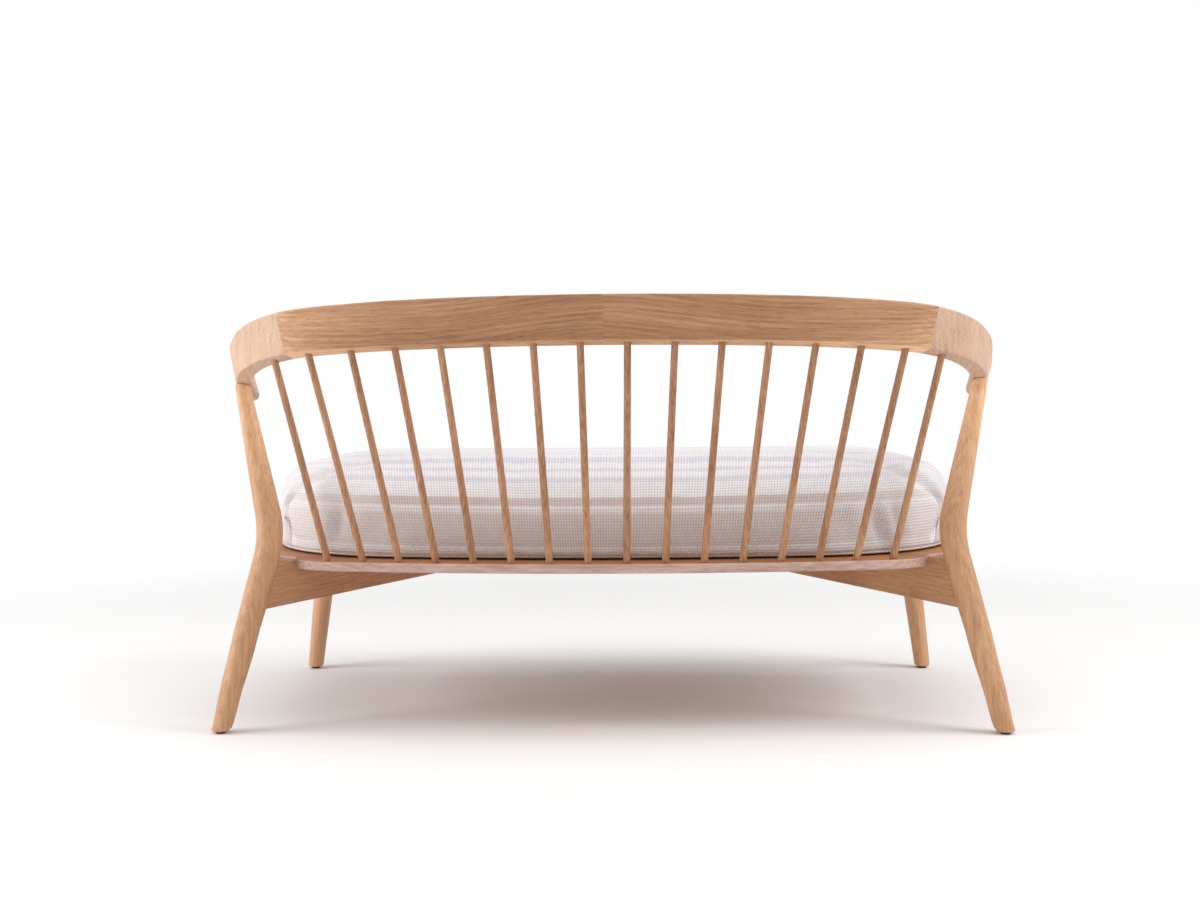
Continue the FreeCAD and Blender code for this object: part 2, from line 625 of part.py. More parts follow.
# Cushion
def cushion_outline(inset, z):
    """Level outline of the cushion: bowed back, large back corners, sides and front drawn in."""
    half = CUSHION_HALF_WIDTH - inset
    back = CUSHION_BACK_Y - inset
    front = CUSHION_FRONT_Y + inset
    back_radius = CUSHION_BACK_RADIUS - inset
    corner = CUSHION_BACK_CORNER - 1.1 * inset
    front_corner = CUSHION_FRONT_CORNER - 0.3 * inset
    back_centre = V(0, back - back_radius, z)
    span = back_radius - corner
    corner_y = back_centre.y + math.sqrt(span ** 2 - (half - corner) ** 2)
    corner_centre = V(half - corner, corner_y, z)
    out = (corner_centre - back_centre).normalize()
    first = back_centre + out * back_radius
    bend = (math.atan2(out.x, out.y) + math.pi / 2) / 2
    middle = corner_centre + V(math.sin(bend), math.cos(bend), 0) * corner
    side_top = V(half, corner_y, z)
    side_low = V(half, front + front_corner, z)
    side_mid = V(half - CUSHION_DRAW_IN, (side_top.y + side_low.y) / 2, z)
    diagonal = front_corner * math.sqrt(0.5)
    nose = V(half - front_corner + diagonal, front + front_corner - diagonal, z)
    last = V(half - front_corner, front, z)

    def flip(p):
        return V(-p.x, p.y, p.z)

    edges = [Part.Arc(flip(first), V(0, back, z), first).toShape()]
    edges.append(Part.Arc(first, middle, side_top).toShape())
    edges.append(Part.Arc(side_top, side_mid, side_low).toShape())
    edges.append(Part.Arc(side_low, nose, last).toShape())
    edges.append(Part.Arc(last, V(0, front + CUSHION_DRAW_IN, z), flip(last)).toShape())
    edges.append(Part.Arc(flip(last), flip(nose), flip(side_low)).toShape())
    edges.append(Part.Arc(flip(side_low), flip(side_mid), flip(side_top)).toShape())
    edges.append(Part.Arc(flip(side_top), flip(middle), flip(first)).toShape())
    return Part.Wire(edges)


CUSHION_BASE = SEAT_TOP + CUSHION_GAP
BASE_ANGLES = (0.0, 30.0, 60.0, 90.0)
CROWN_ANGLES = (0.0, 12.0, 24.0, 36.0, 48.0, 60.0, 71.0, 80.0, 86.0)


def cushion_rows():
    """Pairs of height and inset: a rounded lower edge, then a superellipse up to the crown."""
    rows = []
    for angle in BASE_ANGLES:
        a = math.radians(angle)
        rows.append((CUSHION_BASE_RISE * (1 - math.cos(a)), CUSHION_BASE_ROUND * (1 - math.sin(a))))
    power = 2.0 / CUSHION_CROWN_POWER
    for angle in CROWN_ANGLES:
        a = math.radians(angle)
        height = (CUSHION_CROWN_HEIGHT - CUSHION_WAIST) * math.sin(a) ** power
        rows.append((CUSHION_WAIST + height, CUSHION_CROWN_REACH * (1 - math.cos(a) ** power)))
    return rows


def cushion_form(shrink):
    """Loft up through level outlines, shrunk on every side by the cover for the filling."""
    keep = (CUSHION_CROWN_HEIGHT - 2 * shrink) / CUSHION_CROWN_HEIGHT
    rows = cushion_rows()
    wires = [cushion_outline(inset + shrink, CUSHION_BASE + shrink + z * keep) for z, inset in rows]
    return Part.makeLoft(wires, True, True)


cushion_outer = cushion_form(0.0)
cushion_core = cushion_form(CUSHION_COVER)
base_inset = CUSHION_BASE_ROUND + CUSHION_COVER
base_face = Part.Face(cushion_outline(base_inset, CUSHION_BASE))
cushion_base = base_face.extrude(V(0, 0, CUSHION_COVER))
cushion_cover = cushion_outer.cut(cushion_core).cut(cushion_base)


# Hand over
def export(name, shape):
    """Write one node after checking that it is sound."""
    if not shape.isValid():
        raise ValueError(name + " is not a valid shape")
    if not shape.Solids:
        raise ValueError(name + " has no solid")
    shape.exportStep("parts/" + name + ".step")


def pair(name, shape):
    """Write a piece for the sitter's left and its mirror image for the right."""
    export(name + "_left", shape)
    export(name + "_right", mirrored(shape))


os.makedirs("parts", exist_ok=True)
pair("crest", crest)
pair("arm", arm)
export("crest_tenon", crest_tenon)
pair("arm_tenon", arm_tenon)
half_count = SPINDLE_COUNT // 2
for index in range(half_count):
    export("spindle_%02d" % (half_count - index), spindles[index])
    export("spindle_%02d" % (half_count + 1 + index), mirrored(spindles[index]))
pair("back_leg", back_leg)
pair("front_leg", front_leg)
pair("glide_back", back_glide)
pair("glide_front", front_glide)
pair("rear_bearer", rear_bearer)
pair("front_bearer", front_bearer)
export("centre_beam", beam)
export("beam_dowels", dowel_group)
export("seat_screws", screw_group)
for index, board in enumerate(boards):
    export("seat_board_%d" % (index + 1), board)
export("cushion_cover", cushion_cover)
export("cushion_base", cushion_base)
export("cushion_core", cushion_core)
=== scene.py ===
"""Garden sofa: finishes, cushion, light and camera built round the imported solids.

Metres, in the frame of the solids: +Z is up, the back of the sofa faces +Y and +X is the
sitter's left.  The camera stands behind the sofa, so +X is on the left of the picture.
"""
import json
import math

import bmesh
import bpy
import numpy as np
from mathutils import Matrix, Vector

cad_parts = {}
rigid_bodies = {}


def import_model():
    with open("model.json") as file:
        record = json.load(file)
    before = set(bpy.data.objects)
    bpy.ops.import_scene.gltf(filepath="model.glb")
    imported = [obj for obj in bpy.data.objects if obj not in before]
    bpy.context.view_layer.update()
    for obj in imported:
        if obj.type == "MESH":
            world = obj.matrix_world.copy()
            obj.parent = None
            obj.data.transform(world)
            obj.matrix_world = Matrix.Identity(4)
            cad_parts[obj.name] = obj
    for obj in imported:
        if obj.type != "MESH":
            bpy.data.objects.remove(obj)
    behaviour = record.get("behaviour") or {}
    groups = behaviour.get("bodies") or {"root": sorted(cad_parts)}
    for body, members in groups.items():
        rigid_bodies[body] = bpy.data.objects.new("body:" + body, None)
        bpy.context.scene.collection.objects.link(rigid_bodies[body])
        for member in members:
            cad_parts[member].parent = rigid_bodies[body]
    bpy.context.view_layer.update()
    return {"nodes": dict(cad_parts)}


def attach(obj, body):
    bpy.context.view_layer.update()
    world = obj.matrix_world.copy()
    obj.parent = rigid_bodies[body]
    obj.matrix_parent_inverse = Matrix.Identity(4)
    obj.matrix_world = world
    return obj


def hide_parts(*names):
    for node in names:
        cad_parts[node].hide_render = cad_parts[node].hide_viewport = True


for leftover in list(bpy.data.objects):
    bpy.data.objects.remove(leftover)
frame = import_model()
nodes = frame["nodes"]
scene = bpy.context.scene
MM = 0.001


def linear(code):
    """Linear colour with alpha from an sRGB hex code."""
    parts = [int(code[i:i + 2], 16) / 255 for i in (1, 3, 5)]
    return tuple(p / 12.92 if p <= 0.04045 else ((p + 0.055) / 1.055) ** 2.4 for p in parts) + (1.0,)


def add(tree, kind, inputs=None, stops=None, **settings):
    """Add a node with its settings; each input is a value or the socket linked to it."""
    made = tree.nodes.new(kind)
    for name, value in settings.items():
        setattr(made, name, value)
    for name, value in (inputs or {}).items():
        if isinstance(value, bpy.types.NodeSocket):
            tree.links.new(value, made.inputs[name])
        else:
            made.inputs[name].default_value = value
    if stops:
        ramp = made.color_ramp.elements
        while len(ramp) < len(stops):
            ramp.new(0.5)
        for element, (place, colour) in zip(ramp, stops):
            element.position = place
            element.color = colour
    return made


def blank(name):
    """New material and its empty node tree."""
    material = bpy.data.materials.new(name)
    material.use_nodes = True
    tree = material.node_tree
    tree.nodes.clear()
    return material, tree


# Colour sockets of a Mix node
COLOUR_A = 6
COLOUR_B = 7
COLOUR_OUT = 2

# Oiled teak: straight open grain, long uneven streaks over faint growth rings, satin.
# Streaks are drawn 6 mm wide, fibres and pores 2 mm wide, coarser than life, so that they show.
FIBRE_WIDTH = 2.0 * MM
FIBRE_LENGTH = 45 * MM
PORE_WIDTH = 2.0 * MM
PORE_LENGTH = 16 * MM
PORE_DEPTH = 0.3 * MM
PORE_RELIEF = 0.35
PORE_LEVELS = (0.56, 0.72)
STREAK_WIDTH = 6 * MM
STREAK_LENGTH = 260 * MM
BLOTCH_WIDTH = 60 * MM
BLOTCH_LENGTH = 300 * MM
# Slow noise sways the lines of the grain sideways
SWAY_LENGTH = 160 * MM
SWAY_STRETCH = 0.4
SWAY = 22 * MM
NOISE_MIDDLE = (0.5, 0.5, 0.5)
# What each pattern adds to the tone, and the range of sums from the darkest to the lightest tone
STREAK_SHARE = 0.8
RING_SHARE = 0.05
FIBRE_SHARE = 0.5
BLOTCH_SHARE = 0.65
PORE_SHARE = -0.18
TONE_MIDDLE = 0.95
TONE_SPREAD = 0.42
TONE_STOPS = (0.05, 0.5, 0.95)
TEAK_ROUGHNESS = (0.64, 0.5)
TEAK_IOR = 1.5

# Grain of the curved rail: it keeps to the bow and rises towards the middle joint
RAIL_BOW = 0.19
GRAIN_RISE = 0.2
RISE_REACH = 0.3
# Painted light: the rail is painted paler outwards, where the side lamps fall on its ends, and the back legs
# upwards, where the key lamp falls on their tops: axis, from, to, red, green and blue gained
RAIL_END_PAINTED_LIGHT = ("X", 0.28, 0.57, (0.40, 0.52, 0.68))
LEG_TOP_PAINTED_LIGHT = ("Z", 0.36, 0.64, (0.38, 0.48, 0.56))
# The rail's underside is painted paler, as if lit by light bounced up from the floor: full from a downward
# slope on
UNDERSIDE_PAINTED_BOUNCE_LIGHT = (0.42, 0.58, 0.64)
BOUNCE_PAINT_SLOPE = (-0.35, -0.85)
# Slopes between which a face counts as level, for wood whose level faces have tones of their own
LEVEL_SLOPE = (0.75, 0.97)
# The arms show their end grain behind, as upright lines: sheets this many times as high as wide
ARM_SHEET = 9.0


def rail_grain(tree, place):
    """Object place with the rail's bow taken out of Y and the rise near the middle joint out of Z."""
    part = add(tree, "ShaderNodeSeparateXYZ", {"Vector": place})
    square = add(tree, "ShaderNodeMath", {0: part.outputs["X"], 1: part.outputs["X"]}, operation="MULTIPLY")
    straight = add(tree, "ShaderNodeMath", {0: square.outputs["Value"], 1: RAIL_BOW, 2: part.outputs["Y"]},
                   operation="MULTIPLY_ADD")
    away = add(tree, "ShaderNodeMath", {0: part.outputs["X"]}, operation="ABSOLUTE")
    near = add(tree, "ShaderNodeMapRange", {"Value": away.outputs["Value"], "From Max": RISE_REACH,
                                            "To Min": GRAIN_RISE * RISE_REACH / 2, "To Max": 0.0},
               interpolation_type="SMOOTHSTEP")
    lower = add(tree, "ShaderNodeMath", {0: part.outputs["Z"], 1: near.outputs["Result"]},
                operation="SUBTRACT")
    return add(tree, "ShaderNodeCombineXYZ", {"X": part.outputs["X"], "Y": straight.outputs["Value"],
                                              "Z": lower.outputs["Value"]}).outputs["Vector"]


def grain_lines(tree, place, width, length, sheet=1.0, **noise):
    """Noise drawn out along local Z: lines of a width across the grain and a length along it."""
    scale = (1 / width, 1 / (sheet * width), 1 / length)
    laid = add(tree, "ShaderNodeMapping", {"Vector": place, "Scale": scale})
    lines = add(tree, "ShaderNodeTexNoise", {"Vector": laid.outputs["Vector"], "Scale": 1.0, **noise})
    return lines.outputs["Fac"]


def paled(tree, colour, gain, share):
    """Colour plus a share of its gain in red, green and blue."""
    more = add(tree, "ShaderNodeVectorMath", {0: gain, "Scale": share}, operation="SCALE")
    return add(tree, "ShaderNodeVectorMath", {0: more.outputs["Vector"], 1: colour, 2: colour},
               operation="MULTIPLY_ADD").outputs["Vector"]


def oiled_teak(name, grain, pith, tones, ring, figure=1.0, rail=False, face_tones=None, painted_light=None,
               sheet=1.0):
    """Solid wood: streaks, fibres, pores and blotches along the grain, over rings round a pith line.

    Figure strengthens the pattern.  A rail's grain keeps to its bow, and its underside is painted paler, as
    if lit by light bounced from the floor.
    Face tones are those of level faces, painted_light is an axis along which the wood is painted lighter
    where the lamps fall, and sheet draws the lines out across the grain.
    """
    material, tree = blank(name)
    turn = Vector(grain).to_track_quat("Z", "Y").to_euler()
    place = add(tree, "ShaderNodeTexCoord")
    start = rail_grain(tree, place.outputs["Object"]) if rail else place.outputs["Object"]
    local = add(tree, "ShaderNodeMapping", {"Vector": start, "Location": pith, "Rotation": turn},
                vector_type="TEXTURE").outputs["Vector"]
    slow = add(tree, "ShaderNodeMapping", {"Vector": local, "Scale": (1.0, 1.0, SWAY_STRETCH)})
    sway = add(tree, "ShaderNodeTexNoise", {"Vector": slow.outputs["Vector"], "Scale": 1 / SWAY_LENGTH,
                                            "Detail": 2.0, "Roughness": 0.45})
    level = add(tree, "ShaderNodeVectorMath", {0: sway.outputs["Color"], 1: NOISE_MIDDLE},
                operation="SUBTRACT")
    shift = add(tree, "ShaderNodeVectorMath", {0: level.outputs["Vector"], "Scale": SWAY}, operation="SCALE")
    bent = add(tree, "ShaderNodeVectorMath", {0: local, 1: shift.outputs["Vector"]}).outputs["Vector"]

    across = add(tree, "ShaderNodeVectorMath", {0: bent, 1: (1.0, 1.0, 0.0)}, operation="MULTIPLY")
    radius = add(tree, "ShaderNodeVectorMath", {0: across.outputs["Vector"]}, operation="LENGTH")
    count = add(tree, "ShaderNodeMath", {0: radius.outputs["Value"], 1: 2 * math.pi / ring},
                operation="MULTIPLY")
    rings = add(tree, "ShaderNodeMath", {0: count.outputs["Value"]}, operation="SINE").outputs["Value"]
    streaks = grain_lines(tree, bent, STREAK_WIDTH, STREAK_LENGTH, sheet, Detail=4.0, Roughness=0.62)
    fibres = grain_lines(tree, bent, FIBRE_WIDTH, FIBRE_LENGTH, sheet, Detail=2.0)
    spots = grain_lines(tree, bent, PORE_WIDTH, PORE_LENGTH, sheet, Detail=1.0)
    blotches = grain_lines(tree, local, BLOTCH_WIDTH, BLOTCH_LENGTH, Detail=2.0)
    pores = add(tree, "ShaderNodeMapRange", {"Value": spots, "From Min": PORE_LEVELS[0],
                                             "From Max": PORE_LEVELS[1], "To Max": PORE_SHARE})
    total = pores.outputs["Result"]
    for pattern, share in ((streaks, STREAK_SHARE), (rings, RING_SHARE), (fibres, FIBRE_SHARE),
                           (blotches, BLOTCH_SHARE)):
        total = add(tree, "ShaderNodeMath", {0: pattern, 1: share, 2: total},
                    operation="MULTIPLY_ADD").outputs["Value"]
    spread = TONE_SPREAD / figure
    tone = add(tree, "ShaderNodeMapRange", {"Value": total, "From Min": TONE_MIDDLE - spread,
                                            "From Max": TONE_MIDDLE + spread}).outputs["Result"]
    tint = add(tree, "ShaderNodeValToRGB", {"Fac": tone}, stops=tuple(zip(TONE_STOPS, map(linear, tones))))
    colour = tint.outputs["Color"]

    # Painted light: the wood is painted lighter along one axis, where the lamps fall on it
    if painted_light:
        axis, first, last, gain = painted_light
        part = add(tree, "ShaderNodeSeparateXYZ", {"Vector": place.outputs["Object"]})
        away = add(tree, "ShaderNodeMath", {0: part.outputs[axis]}, operation="ABSOLUTE")
        share = add(tree, "ShaderNodeMapRange", {"Value": away.outputs["Value"], "From Min": first,
                                                 "From Max": last}, interpolation_type="SMOOTHSTEP")
        colour = paled(tree, colour, gain, share.outputs["Result"])
    if rail or face_tones:
        lie = add(tree, "ShaderNodeSeparateXYZ", {"Vector": place.outputs["Normal"]})
    # Painted bounce light: the underside is painted paler, as if lit from the floor below
    if rail:
        under = add(tree, "ShaderNodeMapRange", {"Value": lie.outputs["Z"], "From Min": BOUNCE_PAINT_SLOPE[0],
                                                 "From Max": BOUNCE_PAINT_SLOPE[1]})
        colour = paled(tree, colour, UNDERSIDE_PAINTED_BOUNCE_LIGHT, under.outputs["Result"])
    if face_tones:
        face = add(tree, "ShaderNodeValToRGB", {"Fac": tone},
                   stops=tuple(zip(TONE_STOPS, map(linear, face_tones))))
        slope = add(tree, "ShaderNodeMath", {0: lie.outputs["Z"]}, operation="ABSOLUTE")
        flat = add(tree, "ShaderNodeMapRange", {"Value": slope.outputs["Value"], "From Min": LEVEL_SLOPE[0],
                                                "From Max": LEVEL_SLOPE[1]})
        mixed = add(tree, "ShaderNodeMix", {0: flat.outputs["Result"], COLOUR_A: colour,
                                            COLOUR_B: face.outputs["Color"]}, data_type="RGBA")
        colour = mixed.outputs[COLOUR_OUT]

    gloss = add(tree, "ShaderNodeMapRange", {"Value": tone, "To Min": TEAK_ROUGHNESS[0],
                                             "To Max": TEAK_ROUGHNESS[1]})
    relief = add(tree, "ShaderNodeBump", {"Height": pores.outputs["Result"], "Strength": PORE_RELIEF,
                                          "Distance": PORE_DEPTH})
    shader = add(tree, "ShaderNodeBsdfPrincipled", {"Base Color": colour, "IOR": TEAK_IOR,
                                                    "Roughness": gloss.outputs["Result"],
                                                    "Normal": relief.outputs["Normal"]})
    add(tree, "ShaderNodeOutputMaterial", {"Surface": shader.outputs["BSDF"]})
    return material


# Kinds of wood: dark, middle and light tone, ring width and what else sets the kind apart; some tones hold
# painted light, where noted
BEARER_TONES = ("#825535", "#ae7b57", "#ca996e")
CREST = dict(tones=("#7f5334", "#a87955", "#c49770"), ring=8 * MM, figure=1.05, rail=True, painted_light=RAIL_END_PAINTED_LIGHT)
# The arms' tones are paler than the crest's: partly a paler wood, partly painted light where the side lamps
# fall on the arms
ARM = dict(tones=("#aa8369", "#c9a58b", "#dcbda5"), ring=7 * MM, figure=0.8, sheet=ARM_SHEET)
BACK_LEG = dict(tones=("#9e6f4a", "#be8f68", "#d3a880"), ring=7 * MM, painted_light=LEG_TOP_PAINTED_LIGHT)
# The front legs' tones are lighter than the back legs': painted light, as if the key lamp fell more strongly
# on them
FRONT_LEG_PAINTED_LIGHTER = dict(tones=("#ad7c56", "#cd9c75", "#dfb48d"), ring=6 * MM)
BEARER = dict(tones=BEARER_TONES, ring=8 * MM, figure=0.8)
BEAM = dict(tones=BEARER_TONES, ring=8 * MM)
DECK = dict(tones=("#9a7668", "#bc9a8e", "#d4b9ad"), ring=7 * MM,
            face_tones=("#7f502a", "#a46c3b", "#bb8650"))
SPINDLE = dict(tones=("#89593a", "#aa7a58", "#c69870"), ring=5 * MM, figure=1.25)
TENON = dict(tones=BEARER_TONES, ring=6 * MM)

# Start of the pieces' names, material, direction of the grain, a point of the pith, kind of wood
WOODS = (
    ("crest_left", "teak_crest_left", (-1, 0, 0), (0.2, 0.27, 0.55), CREST),
    ("crest_right", "teak_crest_right", (1, 0, 0), (-0.2, 0.28, 0.53), CREST),
    ("arm_left", "teak_arm_left", (0.12, -1, 0.06), (0.4, 0.1, 0.45), ARM),
    ("arm_right", "teak_arm_right", (-0.12, -1, 0.06), (-0.4, 0.1, 0.45), ARM),
    ("back_leg_left", "teak_back_leg_left", (-0.04, 0.02, 1), (0.62, 0.05, 0), BACK_LEG),
    ("back_leg_right", "teak_back_leg_right", (0.04, 0.02, 1), (-0.67, 0.04, 0), BACK_LEG),
    ("front_leg_left", "teak_front_leg_left", (-0.14, 0.12, 1), (0.6, -0.3, 0), FRONT_LEG_PAINTED_LIGHTER),
    ("front_leg_right", "teak_front_leg_right", (0.14, 0.12, 1), (-0.6, -0.29, 0), FRONT_LEG_PAINTED_LIGHTER),
    ("rear_bearer_left", "teak_rear_bearer_left", (1, 0.53, -0.1), (0.4, 0.0, 0.1), BEARER),
    ("rear_bearer_right", "teak_rear_bearer_right", (-1, 0.53, -0.1), (-0.4, 0.0, 0.12), BEARER),
    ("front_bearer_left", "teak_front_bearer_left", (1, -0.6, -0.1), (0.4, -0.2, 0.1), BEARER),
    ("front_bearer_right", "teak_front_bearer_right", (-1, -0.6, -0.1), (-0.4, -0.2, 0.12), BEARER),
    ("centre_beam", "teak_beam", (1, 0.02, 0), (0, -0.05, 0.15), BEAM),
    ("seat_board", "teak_seat_boards", (1, 0.01, 0.004), (0, 0.05, 0.21), DECK),
    ("spindle", "teak_spindles", (0, 0.1, 1), (0.03, 0.05, 0.3), SPINDLE),
    ("crest_tenon", "teak_tenons", (1, 0, 0), (0, 0.3, 0.7), TENON),
)
finishes = {start: oiled_teak(name, grain, pith, **kind) for start, name, grain, pith, kind in WOODS}
finishes["arm_tenon"] = finishes["crest_tenon"]
finishes["beam_dowels"] = finishes["crest_tenon"]

# Grain of moulded nylon and marks of turned steel, coarser than life, so that they show
NYLON_GRIT = 0.8 * MM
NYLON_DEPTH = 0.1 * MM
NYLON_DARK = "#141313"
NYLON_LIGHT = "#262423"
TURNING_MARK = 0.6 * MM
STEEL = "#c4c3c0"
STEEL_ROUGHNESS = (0.25, 0.45)


def moulded_nylon():
    """Black nylon, injection moulded: dark, fine grit, dull sheen."""
    material, tree = blank("moulded_black_nylon")
    place = add(tree, "ShaderNodeTexCoord")
    grit = add(tree, "ShaderNodeTexNoise", {"Vector": place.outputs["Object"], "Scale": 1 / NYLON_GRIT})
    tint = add(tree, "ShaderNodeValToRGB", {"Fac": grit.outputs["Fac"]},
               stops=((0.3, linear(NYLON_DARK)), (0.7, linear(NYLON_LIGHT))))
    relief = add(tree, "ShaderNodeBump", {"Height": grit.outputs["Fac"], "Strength": 0.3,
                                          "Distance": NYLON_DEPTH})
    shader = add(tree, "ShaderNodeBsdfPrincipled", {"Base Color": tint.outputs["Color"], "Roughness": 0.5,
                                                    "IOR": 1.53, "Normal": relief.outputs["Normal"]})
    add(tree, "ShaderNodeOutputMaterial", {"Surface": shader.outputs["BSDF"]})
    return material


def turned_steel():
    """Stainless steel screw: bright metal with fine turning marks."""
    material, tree = blank("turned_stainless_steel")
    place = add(tree, "ShaderNodeTexCoord")
    marks = add(tree, "ShaderNodeTexNoise", {"Vector": place.outputs["Object"], "Scale": 1 / TURNING_MARK})
    gloss = add(tree, "ShaderNodeMapRange", {"Value": marks.outputs["Fac"], "To Min": STEEL_ROUGHNESS[0],
                                             "To Max": STEEL_ROUGHNESS[1]})
    shader = add(tree, "ShaderNodeBsdfPrincipled", {"Base Color": linear(STEEL), "Metallic": 1.0,
                                                    "Roughness": gloss.outputs["Result"]})
    add(tree, "ShaderNodeOutputMaterial", {"Surface": shader.outputs["BSDF"]})
    return material


finishes["glide"] = moulded_nylon()
finishes["seat_screws"] = turned_steel()

# Ribbed outdoor cloth: off-white with grey-mauve, beige and lavender bands across the width.
# Ribs cross the bands 5 mm apart and threads run along them 5.5 mm apart, coarser than life, so that
# they show.
RIB_PITCH = 5.0 * MM
THREAD_PITCH = 5.5 * MM
THREAD_SHARE = 0.7
WEAVE_PEAK = 1 + THREAD_SHARE
WEAVE_SHADE = (0.79, 1.15)
WEAVE_RELIEF = 0.8
WEAVE_DEPTH = 0.5 * MM
SLUB_SIZE = 9 * MM
SLUB_LEVELS = (0.3, 0.7)
SLUB_SHADE = (0.965, 1.03)
OFF_WHITE = "#ebe8ea"
MAUVE = "#d4c6c4"
BEIGE = "#d1c1bd"
LAVENDER = "#dbd6e0"
BRIGHT = "#f3f0f0"
PALE = "#e0d9d9"
WELT_COLOUR = "#cfc4c2"
# Bands from the lower back edge over the top, mirrored about a turn; towards the ends they fade to a share
BANDS_MM = ((0, OFF_WHITE), (25, OFF_WHITE), (28, MAUVE), (84, MAUVE), (87, PALE), (95, PALE), (97, BRIGHT),
            (98, BRIGHT), (100, BEIGE), (114, BEIGE), (118, OFF_WHITE), (144, OFF_WHITE), (150, LAVENDER),
            (157, LAVENDER), (163, OFF_WHITE), (174, OFF_WHITE), (180, LAVENDER), (184, LAVENDER),
            (190, OFF_WHITE), (201, OFF_WHITE), (209, LAVENDER), (223, LAVENDER), (231, OFF_WHITE),
            (259, OFF_WHITE), (267, LAVENDER), (273, LAVENDER), (281, OFF_WHITE), (346, OFF_WHITE),
            (355, LAVENDER), (365, LAVENDER), (374, OFF_WHITE), (430, OFF_WHITE))
BAND_TURN = 430 * MM
BAND_FADE = (330 * MM, 560 * MM)
BAND_FADED = 0.5


def ribbed_cloth(name, banded):
    """Woven cloth: bands along one sewn coordinate, ribs and threads as small waves on both."""
    material, tree = blank(name)
    sewn = add(tree, "ShaderNodeUVMap", uv_map="sewn")
    parts = add(tree, "ShaderNodeSeparateXYZ", {"Vector": sewn.outputs["UV"]})
    rib_turn = add(tree, "ShaderNodeMath", {0: parts.outputs["X"], 1: 2 * math.pi / RIB_PITCH},
                   operation="MULTIPLY")
    rib = add(tree, "ShaderNodeMath", {0: rib_turn.outputs["Value"]}, operation="SINE")
    thread_turn = add(tree, "ShaderNodeMath", {0: parts.outputs["Y"], 1: 2 * math.pi / THREAD_PITCH},
                      operation="MULTIPLY")
    thread = add(tree, "ShaderNodeMath", {0: thread_turn.outputs["Value"]}, operation="SINE")
    weave = add(tree, "ShaderNodeMath", {0: thread.outputs["Value"], 1: THREAD_SHARE,
                                         2: rib.outputs["Value"]}, operation="MULTIPLY_ADD")
    if banded:
        folded = add(tree, "ShaderNodeMath", {0: parts.outputs["Y"], 1: BAND_TURN}, operation="PINGPONG")
        along = add(tree, "ShaderNodeMath", {0: folded.outputs["Value"], 1: 1 / BAND_TURN},
                    operation="MULTIPLY")
        stops = [(mm / BANDS_MM[-1][0], linear(code)) for mm, code in BANDS_MM]
        bands = add(tree, "ShaderNodeValToRGB", {"Fac": along.outputs["Value"]}, stops=stops)
        ground = bands.outputs["Color"]
    else:
        ground = linear(WELT_COLOUR)
    away = add(tree, "ShaderNodeMath", {0: parts.outputs["X"]}, operation="ABSOLUTE")
    faded = add(tree, "ShaderNodeMapRange", {"Value": away.outputs["Value"], "From Min": BAND_FADE[0],
                                             "From Max": BAND_FADE[1], "To Max": BAND_FADED},
                interpolation_type="SMOOTHSTEP")
    dyed = add(tree, "ShaderNodeMix", {0: faded.outputs["Result"], COLOUR_A: ground,
                                       COLOUR_B: linear(OFF_WHITE)}, data_type="RGBA")
    place = add(tree, "ShaderNodeTexCoord")
    slub = add(tree, "ShaderNodeTexNoise", {"Vector": place.outputs["Object"], "Scale": 1 / SLUB_SIZE,
                                            "Detail": 3.0})
    shade = add(tree, "ShaderNodeMapRange", {"Value": weave.outputs["Value"], "From Min": -WEAVE_PEAK,
                                             "From Max": WEAVE_PEAK, "To Min": WEAVE_SHADE[0],
                                             "To Max": WEAVE_SHADE[1]})
    fleck = add(tree, "ShaderNodeMapRange", {"Value": slub.outputs["Fac"], "From Min": SLUB_LEVELS[0],
                                             "From Max": SLUB_LEVELS[1], "To Min": SLUB_SHADE[0],
                                             "To Max": SLUB_SHADE[1]})
    light = add(tree, "ShaderNodeMath", {0: shade.outputs["Result"], 1: fleck.outputs["Result"]},
                operation="MULTIPLY")
    tint = add(tree, "ShaderNodeVectorMath", {0: dyed.outputs[COLOUR_OUT], "Scale": light.outputs["Value"]},
               operation="SCALE")
    relief = add(tree, "ShaderNodeBump", {"Height": weave.outputs["Value"], "Strength": WEAVE_RELIEF,
                                          "Distance": WEAVE_DEPTH})
    shader = add(tree, "ShaderNodeBsdfPrincipled", {"Base Color": tint.outputs["Vector"], "Roughness": 0.9,
                                                    "Sheen Weight": 0.25, "Sheen Roughness": 0.5, "IOR": 1.46,
                                                    "Normal": relief.outputs["Normal"]})
    add(tree, "ShaderNodeOutputMaterial", {"Surface": shader.outputs["BSDF"]})
    return material


cover_cloth = ribbed_cloth("ribbed_striped_cloth", True)
piping_cloth = ribbed_cloth("ribbed_plain_cloth", False)

for name, node in nodes.items():
    for start, finish in finishes.items():
        if name.startswith(start):
            node.data.materials.clear()
            node.data.materials.append(finish)

# Cushion sizes: those of the solids, a little smaller where the cloth swells
CUSHION_BASE = 0.3079
CUSHION_HALF_WIDTH = 0.674
CUSHION_BACK_Y = 0.208
CUSHION_FRONT_Y = -0.352
CUSHION_BACK_RADIUS = 2.7
CUSHION_BACK_CORNER = 0.335
CUSHION_FRONT_CORNER = 0.09
CUSHION_DRAW_IN = 0.004
SIDE_DRAW_SHARE = 0.3
CUSHION_WAIST = 0.060
CUSHION_CROWN = 0.175
CUSHION_REACH = 0.195
CUSHION_CROWN_POWER = 3.8
CUSHION_END_POWER = 2.6
# Rounded lower edge, from the under sheet out to the wall: inset and height over the base
LOWER_EDGE = ((0.060, 0.0), (0.030, 0.0015), (0.010, 0.0045), (0.002, 0.0085), (0.0, 0.015))
# What the corners lose of their radius for each unit of inset
BACK_CORNER_LOSS = 1.1
FRONT_CORNER_LOSS = 0.3

